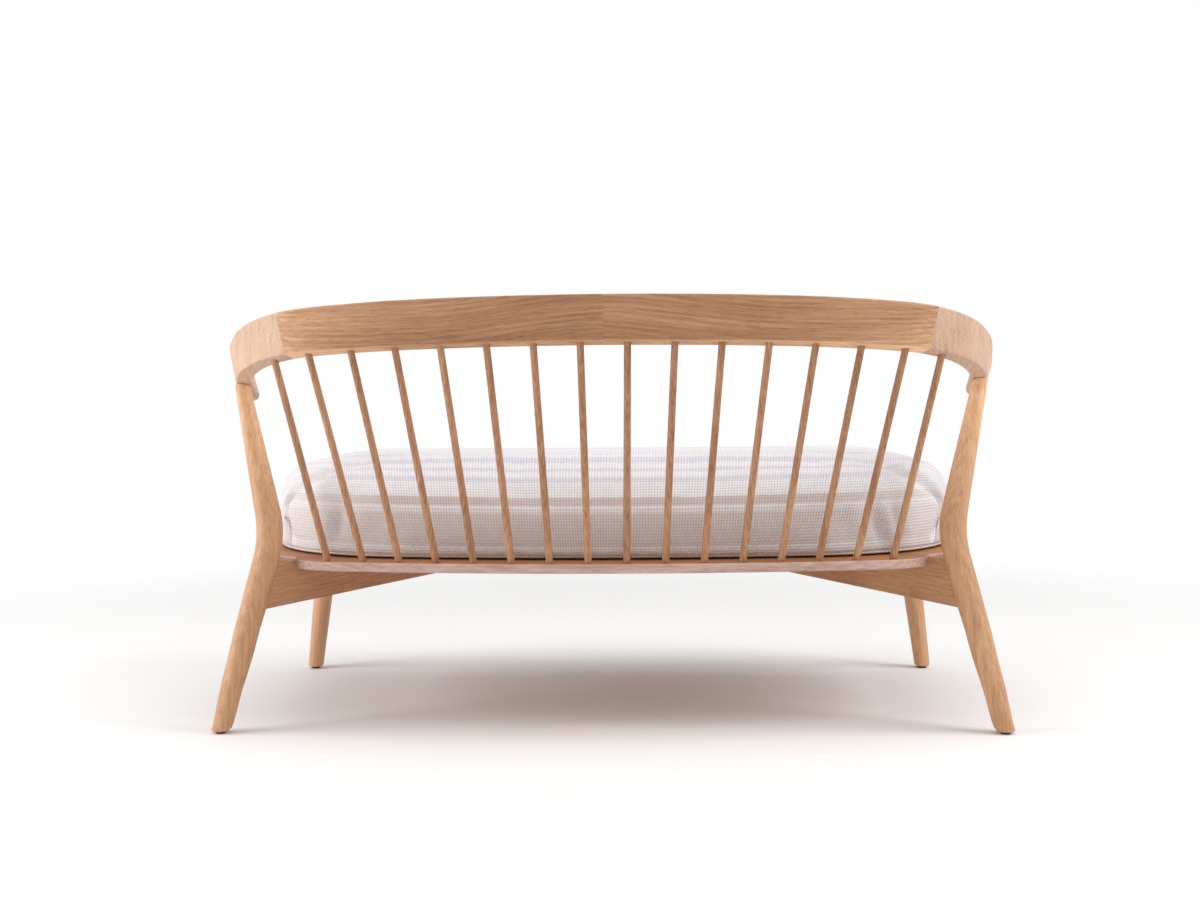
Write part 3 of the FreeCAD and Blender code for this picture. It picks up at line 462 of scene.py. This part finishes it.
# Cushion mesh: grid step, rows of the wall above the lower edge, samples, digits to which points are merged
MESH_STEP = 0.012
WALL_ROWS = 4
OUTLINE_SAMPLES = 4001
GIRTH_SAMPLES = 6001
MERGE_DIGITS = 6

# The grid's back edge ends where the corner seam crosses the wall: height over the base, turn in degrees
WALL_SEAM = ((0.0, 53.0), (0.025, 57.0), (0.055, 62.0), (0.060, 62.7))

# Cushion outline: back arc, back corner, side, front corner and front, each one unit of tau
OUTLINE_UNITS = 5
FRONT_CORNER_MIDDLE = 3.5


def outline(tau, inset):
    """Plan point on the +X half of the outline: arcs and gently drawn-in sides, moved in by an inset."""
    half = CUSHION_HALF_WIDTH - inset
    front = CUSHION_FRONT_Y + inset
    back_radius = CUSHION_BACK_RADIUS - inset
    corner = CUSHION_BACK_CORNER - BACK_CORNER_LOSS * inset
    front_corner = CUSHION_FRONT_CORNER - FRONT_CORNER_LOSS * inset
    centre_y = CUSHION_BACK_Y - inset - back_radius
    corner_x = half - corner
    corner_y = centre_y + np.sqrt((back_radius - corner) ** 2 - corner_x ** 2)
    bend = np.arctan2(corner_x, corner_y - centre_y)
    part = np.clip(np.floor(tau), 0, OUTLINE_UNITS - 1)
    share = tau - part
    angle = np.where(part == 0, bend * share, bend + (np.pi / 2 - bend) * share)
    arc_x = np.where(part == 0, back_radius * np.sin(angle), corner_x + corner * np.sin(angle))
    arc_y = np.where(part == 0, centre_y + back_radius * np.cos(angle), corner_y + corner * np.cos(angle))
    side_low = front + front_corner
    side_x = half - SIDE_DRAW_SHARE * CUSHION_DRAW_IN * np.sin(np.pi * share) ** 2
    side_y = corner_y + (side_low - corner_y) * share
    nose = np.pi / 2 * (1 + share)
    nose_x = half - front_corner + front_corner * np.sin(nose)
    nose_y = side_low + front_corner * np.cos(nose)
    front_x = (half - front_corner) * (1 - share)
    front_y = front + CUSHION_DRAW_IN * np.sin(np.pi / 2 * share)
    stretch = [part < 2, part == 2, part == 3]
    x = np.select(stretch, [arc_x, side_x, nose_x], front_x)
    y = np.select(stretch, [arc_y, side_y, nose_y], front_y)
    return x, y


tau_fine = np.linspace(0, OUTLINE_UNITS, OUTLINE_SAMPLES)
fine_x, fine_y = outline(tau_fine, 0.0)
station_fine = np.concatenate(([0], np.cumsum(np.hypot(np.diff(fine_x), np.diff(fine_y)))))
fine_bend = np.arctan2(CUSHION_HALF_WIDTH - CUSHION_BACK_CORNER, CUSHION_BACK_RADIUS - CUSHION_BACK_CORNER)
HALF_GIRTH = station_fine[-1]
FRONT_END = np.interp(FRONT_CORNER_MIDDLE, tau_fine, station_fine)


def back_end(height):
    """Distance round the outline from the middle of the back to the corner seam at a height over the base."""
    turn = np.radians(np.interp(height, *np.transpose(WALL_SEAM)))
    return np.interp(1 + (turn - fine_bend) / (np.pi / 2 - fine_bend), tau_fine, station_fine)


def rim(station, inset, height):
    """Points at signed distances round the outline from the middle of the back, at one height."""
    tau = np.interp(np.abs(station), station_fine, tau_fine)
    x, y = outline(tau, inset)
    return np.stack([np.sign(station) * x, y, np.full_like(x, height)], axis=-1)


def crown(distance, power=CUSHION_CROWN_POWER):
    """Share of the full rise at a distance in from the edge: a superellipse, full at the reach."""
    left = np.clip(1 - distance / CUSHION_REACH, 0, 1)
    return (1 - left ** power) ** (1 / power)


def graded(half):
    """Distances from the edge to the middle, evenly stepped along the curved surface, and their girth."""
    fine = half * np.linspace(0, 1, GIRTH_SAMPLES) ** 2
    rise = (CUSHION_CROWN - CUSHION_WAIST) * crown(fine)
    girth = np.concatenate(([0], np.cumsum(np.hypot(np.diff(fine), np.diff(rise)))))
    even = np.linspace(0, girth[-1], int(girth[-1] / MESH_STEP) + 1)
    return np.interp(even, girth, fine), even


# Grid of the cushion's sheets: u runs across from -1 to 1, v from the back at 0 to the front at 1
DEPTH = CUSHION_BACK_Y - CUSHION_FRONT_Y
across_in = graded(CUSHION_HALF_WIDTH)[0]
depth_in, depth_girth = graded(DEPTH / 2)
u = np.concatenate((across_in / CUSHION_HALF_WIDTH - 1, (1 - across_in / CUSHION_HALF_WIDTH)[-2::-1]))
v = np.concatenate((depth_in, DEPTH - depth_in[-2::-1])) / DEPTH
v_girth = np.concatenate((depth_girth, 2 * depth_girth[-1] - depth_girth[-2::-1]))
front_station = np.where(u < 0, -1, 1) * (HALF_GIRTH - np.abs(u) * (HALF_GIRTH - FRONT_END))


def stations(height):
    """Distances round the outline of the grid's back and left edges, at a height over the base."""
    seam = back_end(height)
    return u * seam, seam + v * (FRONT_END - seam)


def patch(inset, height):
    """Level sheet filling the outline: blend of the four edges less the blend of the four corners."""
    q = ((u + 1) / 2)[:, None, None]
    p = v[None, :, None]
    back_station, side_station = stations(height)
    level = CUSHION_BASE + height
    back = rim(back_station, inset, level)[:, None]
    front = rim(front_station, inset, level)[:, None]
    right = rim(-side_station, inset, level)[None]
    left = rim(side_station, inset, level)[None]
    edges = (1 - p) * back + p * front + (1 - q) * right + q * left
    corners = (1 - q) * ((1 - p) * back[:1] + p * front[:1]) + q * ((1 - p) * back[-1:] + p * front[-1:])
    return edges - corners


def quads(rows, columns):
    """Corner numbers of every square of a grid."""
    number = np.arange(rows * columns).reshape(rows, columns)
    corners = [number[:-1, :-1], number[1:, :-1], number[1:, 1:], number[:-1, 1:]]
    return np.stack(corners, axis=-1).reshape(-1, 4)


def cushion_panels():
    """Points, squares and sewn coordinates per corner of the cushion's top sheet, wall and under sheet.

    The top is a level patch raised by a crown across the depth times one across the width, the wall
    is the outline carried up the lower edge and on to the waist, and the under sheet is a level patch.
    """
    rise = (crown(v * DEPTH) * crown((1 - v) * DEPTH))[None]
    droop = crown((1 - np.abs(u)) * CUSHION_HALF_WIDTH, CUSHION_END_POWER)[:, None]
    top = patch(0.0, CUSHION_WAIST)
    top[..., 2] += (CUSHION_CROWN - CUSHION_WAIST) * droop * rise
    edge_in, edge_z = np.transpose(LOWER_EDGE)
    wall_z = np.append(edge_z, np.linspace(edge_z[-1], CUSHION_WAIST, WALL_ROWS + 1)[1:])
    wall_in = np.append(edge_in, np.zeros(WALL_ROWS))
    rows = []
    for inset, height in zip(wall_in, wall_z):
        back, side = stations(height)
        loop = np.concatenate((back, side[1:], front_station[-2::-1], -side[-2::-1]))
        rows.append(rim(loop, inset, CUSHION_BASE + height))
    wall = np.stack(rows, axis=1)
    under = patch(LOWER_EDGE[0][0], 0.0)

    drop = CUSHION_WAIST - wall_z[None]
    total = 2 * CUSHION_WAIST + v_girth[-1]
    edge_x = u[:, None] * back_end(CUSHION_WAIST)
    edge_y = CUSHION_WAIST + v[:, None] * v_girth[-1]
    step = np.hypot(np.diff(u) * CUSHION_HALF_WIDTH, (CUSHION_CROWN - CUSHION_WAIST) * np.diff(droop[:, 0]))
    u_girth = np.append(0, np.cumsum(step))[:, None] - step.sum() / 2
    top_x = edge_x + (u_girth - edge_x) * rise
    top_y = edge_y.T + (CUSHION_WAIST + v_girth[None] - edge_y.T) * droop
    cut = (
        (edge_x, wall_z[None]),
        (top_x[-1][:, None] + drop, edge_y),
        (edge_x[::-1], total - wall_z[None]),
        (top_x[0][::-1, None] - drop, edge_y[::-1]),
    )
    top_faces = quads(len(u), len(v))
    wall_faces = quads(wall.shape[0], wall.shape[1])
    top_sewn = np.stack([top_x, top_y], axis=-1).reshape(-1, 2)[top_faces]
    laid = [np.stack(np.broadcast_arrays(*pair), axis=-1) for pair in cut]
    wall_sewn = np.concatenate([panel.reshape(-1, 2)[quads(*panel.shape[:2])] for panel in laid])
    under_sewn = under[..., :2].reshape(-1, 2)[top_faces]
    sizes = np.cumsum([0, top.size // 3, wall.size // 3])
    points = np.concatenate([part.reshape(-1, 3) for part in (top, wall, under)])
    faces = np.concatenate([top_faces + sizes[0], wall_faces + sizes[1], top_faces + sizes[2]])
    sewn = np.concatenate([top_sewn, wall_sewn, under_sewn])
    merged, number = np.unique(np.round(points, MERGE_DIGITS), axis=0, return_inverse=True)
    return merged, number.reshape(-1)[faces], sewn


def outward(mesh):
    """Turn every face of a closed mesh to face out."""
    work = bmesh.new()
    work.from_mesh(mesh)
    bmesh.ops.recalc_face_normals(work, faces=work.faces)
    work.to_mesh(mesh)
    work.free()


def piece(name, points, faces, sewn, material):
    """Smooth mesh object with sewn coordinates in its UV map."""
    mesh = bpy.data.meshes.new(name)
    mesh.from_pydata(points.tolist(), [], faces.tolist())
    layer = mesh.uv_layers.new(name="sewn")
    layer.data.foreach_set("uv", sewn.reshape(-1).astype(np.float32))
    mesh.materials.append(material)
    outward(mesh)
    mesh.polygons.foreach_set("use_smooth", np.ones(len(mesh.polygons), bool))
    made = bpy.data.objects.new(name, mesh)
    scene.collection.objects.link(made)
    return made


def read_vectors(mesh, what):
    """Places or normals of a mesh's vertices as one array."""
    flat = np.empty(len(mesh.vertices) * 3, np.float32)
    mesh.vertices.foreach_get(what, flat)
    return flat.reshape(-1, 3).astype(float)


def move_points(mesh, points):
    """Put the vertices of a mesh at new places."""
    mesh.vertices.foreach_set("co", points.astype(np.float32).reshape(-1))
    mesh.update()


# Cushion: sewn form, blown up as cloth with its under side held
SWELL_CAP = 0.010
CLOTH_FRAMES = 20
HELD_HEIGHT = 0.014
CLOTH = {
    "quality": 5,
    "mass": 0.3,
    "tension_stiffness": 12,
    "compression_stiffness": 12,
    "shear_stiffness": 5,
    "bending_stiffness": 0.6,
    "use_pressure": True,
    "uniform_pressure_force": 0.5,
}


def swell(cushion):
    """Inflate the cushion as cloth under light pressure, each point moving no further than the cap."""
    start = read_vectors(cushion.data, "co")
    held = cushion.vertex_groups.new(name="held")
    held.add(np.flatnonzero(start[:, 2] < CUSHION_BASE + HELD_HEIGHT).tolist(), 1.0, "REPLACE")
    cloth = cushion.modifiers.new("Cloth", "CLOTH")
    for name, value in CLOTH.items():
        setattr(cloth.settings, name, value)
    cloth.settings.vertex_group_mass = "held"
    cloth.settings.effector_weights.gravity = 0
    cloth.point_cache.frame_start = 1
    cloth.point_cache.frame_end = CLOTH_FRAMES
    for step in range(1, CLOTH_FRAMES + 1):
        scene.frame_set(step)
    blown = cushion.evaluated_get(bpy.context.evaluated_depsgraph_get())
    move = read_vectors(blown.data, "co") - start
    cushion.modifiers.remove(cloth)
    cushion.vertex_groups.remove(held)
    far = np.linalg.norm(move, axis=1, keepdims=True)
    move *= np.minimum(1, SWELL_CAP / np.maximum(far, 1e-9))
    move_points(cushion.data, start + move)
    scene.frame_set(1)


def soften(cushion):
    """Divide the mesh once as a subdivision surface and keep the result."""
    smooth = cushion.modifiers.new("Smooth", "SUBSURF")
    smooth.levels = 1
    smooth.render_levels = 1
    fine = cushion.evaluated_get(bpy.context.evaluated_depsgraph_get())
    coarse = cushion.data
    cushion.data = bpy.data.meshes.new_from_object(fine)
    cushion.modifiers.remove(smooth)
    bpy.data.meshes.remove(coarse)
    cushion.data.name = "cushion"


# Corner seams: the cover is drawn in along a line that falls from the top edge to the lower edge round
# each back corner, given as turn round the corner in degrees and height over the base.  Turn, out and foot
# say where the seam starts and how much further on it is full: by turn, from the corner's centre, by height.
CORNER_SEAM = ((25, 0.168), (31, 0.165), (37, 0.157), (44, 0.143), (49, 0.131), (55, 0.117), (61, 0.100),
               (64.5, 0.080), (62, 0.055), (57, 0.025), (53, 0.0))
CORNER_CENTRE = 1.03 * CUSHION_BACK_CORNER
SEAM_DEPTH = 0.015
SEAM_WIDTH = 0.010
SEAM_TURN = (24, 20)
SEAM_OUT = (0.2, 0.05)
SEAM_FOOT = (0.012, 0.025)

# Front seams: down the middle of each front corner
FRONT_SEAM_DEPTH = 0.007
FRONT_SEAM_WIDTH = 0.007
FRONT_SEAM_OUT = (0.03, 0.05)

# Upright folds near the ends of the back wall, hollow or, with a minus, raised: place across, depth, width
FOLDS = ((0.503, 0.013, 0.015), (0.468, -0.004, 0.014), (-0.488, 0.013, 0.014), (-0.508, -0.005, 0.010),
         (-0.527, 0.008, 0.010), (-0.425, 0.005, 0.018), (0.425, 0.004, 0.018))
FOLD_LEAN = -0.22
FOLD_MIDDLE = 0.058
FOLD_HEIGHT = 0.036


def bell(value, width):
    """Bell curve of height 1."""
    return np.exp(-(value / width) ** 2)


def growing(value, start, span):
    """0 up to a start, growing evenly to 1 a span further on."""
    return np.clip((value - start) / span, 0, 1)


def seam_distance(turn, height):
    """Least distance to the corner seam's line, on the corner rolled out flat."""
    line = np.array(CORNER_SEAM, float)
    line[:, 0] = np.radians(line[:, 0]) * CUSHION_BACK_CORNER
    spots = np.stack([turn * CUSHION_BACK_CORNER, height], axis=-1)
    least = np.full(len(spots), np.inf)
    for start, end in zip(line[:-1], line[1:]):
        run = end - start
        share = np.clip((spots - start) @ run / (run @ run), 0, 1)
        least = np.minimum(least, np.linalg.norm(spots - start - share[:, None] * run, axis=1))
    return least


def tuck(cushion):
    """Press corner seams and folds in along the normals, as bell-shaped grooves."""
    points = read_vectors(cushion.data, "co")
    normals = read_vectors(cushion.data, "normal")
    height = points[:, 2] - CUSHION_BASE
    foot = growing(height, *SEAM_FOOT)

    out_x = np.abs(points[:, 0]) - (CUSHION_HALF_WIDTH - CUSHION_BACK_CORNER)
    out_y = points[:, 1] - (CUSHION_BACK_Y - CORNER_CENTRE)
    turn = np.arctan2(out_x, out_y)
    fade = growing(np.degrees(turn), *SEAM_TURN) * growing(np.hypot(out_x, out_y), *SEAM_OUT)
    move = -SEAM_DEPTH * fade * foot * bell(seam_distance(turn, height), SEAM_WIDTH)

    right = np.abs(points[:, 0]) - (CUSHION_HALF_WIDTH - CUSHION_FRONT_CORNER)
    ahead = CUSHION_FRONT_Y + CUSHION_FRONT_CORNER - points[:, 1]
    fade = growing((right + ahead) / math.sqrt(2), *FRONT_SEAM_OUT)
    move -= FRONT_SEAM_DEPTH * fade * foot * bell((right - ahead) / math.sqrt(2), FRONT_SEAM_WIDTH)

    wall = bell(height - FOLD_MIDDLE, FOLD_HEIGHT) * np.clip(1 - normals[:, 2], 0, 1) * (points[:, 1] > 0)
    for place, depth, width in FOLDS:
        lean = place + FOLD_LEAN * np.sign(place) * (height - FOLD_MIDDLE)
        move -= depth * wall * bell(points[:, 0] - lean, width)
    move_points(cushion.data, points + move[:, None] * normals)


cushion = piece("cushion", *cushion_panels(), cover_cloth)
swell(cushion)
soften(cushion)
tuck(cushion)
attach(cushion, "cushion")
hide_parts("cushion_cover", "cushion_base", "cushion_core")

# Welt along the cushion's lower edge
PIPING_RADIUS = 0.0023
PIPING_INSET = 0.0055
PIPING_RISE = 0.0052
PIPING_STEPS = 480
PIPING_SIDES = 12


def piping():
    """Round welt along the lower edge: a circle carried round the outline."""
    station = np.linspace(-HALF_GIRTH, HALF_GIRTH, PIPING_STEPS, endpoint=False)
    centre = rim(station, PIPING_INSET, CUSHION_BASE + PIPING_RISE)
    tangent = np.roll(centre, -1, axis=0) - np.roll(centre, 1, axis=0)
    tangent /= np.linalg.norm(tangent, axis=1, keepdims=True)
    out = np.stack([tangent[:, 1], -tangent[:, 0], np.zeros(PIPING_STEPS)], axis=-1)
    angle = np.linspace(0, 2 * np.pi, PIPING_SIDES, endpoint=False)
    ring = np.cos(angle)[None, :, None] * out[:, None] + np.sin(angle)[None, :, None] * np.array([0, 0, 1.0])
    points = centre[:, None] + PIPING_RADIUS * ring
    number = np.arange(PIPING_STEPS * PIPING_SIDES).reshape(PIPING_STEPS, PIPING_SIDES)
    right = np.roll(number, -1, axis=1)
    ahead = np.roll(number, -1, axis=0)
    faces = np.stack([number, ahead, np.roll(ahead, -1, axis=1), right], axis=-1).reshape(-1, 4)
    flat = np.stack(np.broadcast_arrays(station[:, None], PIPING_RADIUS * angle[None]), axis=-1)
    return points.reshape(-1, 3), faces, flat.reshape(-1, 2)[faces]


welt = piece("cushion_piping", *piping(), piping_cloth)
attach(welt, "cushion")

# Floor and light
FLOOR_HALF = 14.0
FLOOR_COLOUR = "#f4f3f2"
FADE_START = 1.1
FADE_END = 2.7
WHITE = (1, 1, 1, 1)
AMBIENT = 0.40
# Soft boxes: name, place, aim, width, height, power in watts
SOFT_BOXES = (
    ("key_left", (3.0, 0.7, 1.4), (0, 0, 0.45), 1.6, 2.2, 60),
    ("fill_right", (-2.8, 0.7, 2.4), (0, 0, 0.5), 1.6, 2.0, 66),
    ("top", (0.0, 0.2, 3.4), (0, 0.1, 0.0), 3.6, 3.2, 46),
    ("low_back", (0.0, 2.9, 0.32), (0, 0.2, 0.4), 3.0, 0.5, 6),
)


def looked_at(tree):
    """1 for rays that show a surface, straight, mirrored or through glass, 0 for light that bounces."""
    ray = add(tree, "ShaderNodeLightPath")
    mirror = add(tree, "ShaderNodeMath", {0: ray.outputs["Is Camera Ray"], 1: ray.outputs["Is Glossy Ray"]},
                 operation="MAXIMUM")
    clear = add(tree, "ShaderNodeMath", {0: mirror.outputs["Value"], 1: ray.outputs["Is Transmission Ray"]},
                operation="MAXIMUM")
    return clear.outputs["Value"]


def pale_floor():
    """Matt pale studio floor that keeps its shadow near the sofa and fades to white far off."""
    material, tree = blank("matt_studio_floor")
    place = add(tree, "ShaderNodeTexCoord")
    far = add(tree, "ShaderNodeVectorMath", {0: place.outputs["Object"]}, operation="LENGTH")
    fade = add(tree, "ShaderNodeMapRange", {"Value": far.outputs["Value"], "From Min": FADE_START,
                                            "From Max": FADE_END}, interpolation_type="SMOOTHSTEP")
    seen = add(tree, "ShaderNodeMath", {0: fade.outputs["Result"], 1: looked_at(tree)}, operation="MULTIPLY")
    matt = add(tree, "ShaderNodeBsdfPrincipled", {"Base Color": linear(FLOOR_COLOUR), "Roughness": 0.8})
    white = add(tree, "ShaderNodeEmission", {"Color": WHITE, "Strength": 1.0})
    both = add(tree, "ShaderNodeMixShader", {0: seen.outputs["Value"], 1: matt.outputs["BSDF"],
                                             2: white.outputs["Emission"]})
    add(tree, "ShaderNodeOutputMaterial", {"Surface": both.outputs["Shader"]})
    return material


corners = np.array([[-1, -1, 0], [1, -1, 0], [1, 1, 0], [-1, 1, 0]]) * FLOOR_HALF
floor_mesh = bpy.data.meshes.new("floor")
floor_mesh.from_pydata(corners.tolist(), [], [(0, 1, 2, 3)])
floor_mesh.materials.append(pale_floor())
floor = bpy.data.objects.new("floor", floor_mesh)
scene.collection.objects.link(floor)

world = bpy.data.worlds.new("studio")
world.use_nodes = True
scene.world = world
sky = world.node_tree
sky.nodes.clear()
strength = add(sky, "ShaderNodeMapRange", {"Value": looked_at(sky), "To Min": AMBIENT, "To Max": 1.0})
glow = add(sky, "ShaderNodeBackground", {"Color": WHITE, "Strength": strength.outputs["Result"]})
add(sky, "ShaderNodeOutputWorld", {"Surface": glow.outputs["Background"]})

for name, place, aim, width, height, power in SOFT_BOXES:
    lamp = bpy.data.lights.new(name, "AREA")
    lamp.shape = "RECTANGLE"
    lamp.size = width
    lamp.size_y = height
    lamp.energy = power
    holder = bpy.data.objects.new(name, lamp)
    holder.visible_camera = False
    holder.location = place
    holder.rotation_euler = (Vector(aim) - Vector(place)).to_track_quat("-Z", "Y").to_euler()
    scene.collection.objects.link(holder)

# Camera: place in metres, turns in radians, lens in millimetres
CAMERA_PLACE = Vector((-0.0725, 2.6532, 0.60505))
CAMERA_YAW = 0.0350
CAMERA_PITCH = 0.0410
CAMERA_ROLL = -0.0079
CAMERA_LENS = 41.29
SENSOR_WIDTH = 36.0

ahead = Vector((math.sin(CAMERA_YAW), -math.cos(CAMERA_YAW), 0))
level = Vector((-math.cos(CAMERA_YAW), -math.sin(CAMERA_YAW), 0))
upward = Vector((0, 0, 1))
sight = ahead * math.cos(CAMERA_PITCH) - upward * math.sin(CAMERA_PITCH)
head = upward * math.cos(CAMERA_PITCH) + ahead * math.sin(CAMERA_PITCH)
right_hand = level * math.cos(CAMERA_ROLL) + head * math.sin(CAMERA_ROLL)
crown_up = head * math.cos(CAMERA_ROLL) - level * math.sin(CAMERA_ROLL)
lens = bpy.data.cameras.new("camera")
lens.lens = CAMERA_LENS
lens.sensor_width = SENSOR_WIDTH
lens.sensor_fit = "HORIZONTAL"
camera = bpy.data.objects.new("camera", lens)
facing = Matrix((right_hand, crown_up, -sight)).transposed().to_4x4()
camera.matrix_world = Matrix.Translation(CAMERA_PLACE) @ facing
scene.collection.objects.link(camera)
scene.camera = camera
scene.view_settings.view_transform = "Standard"
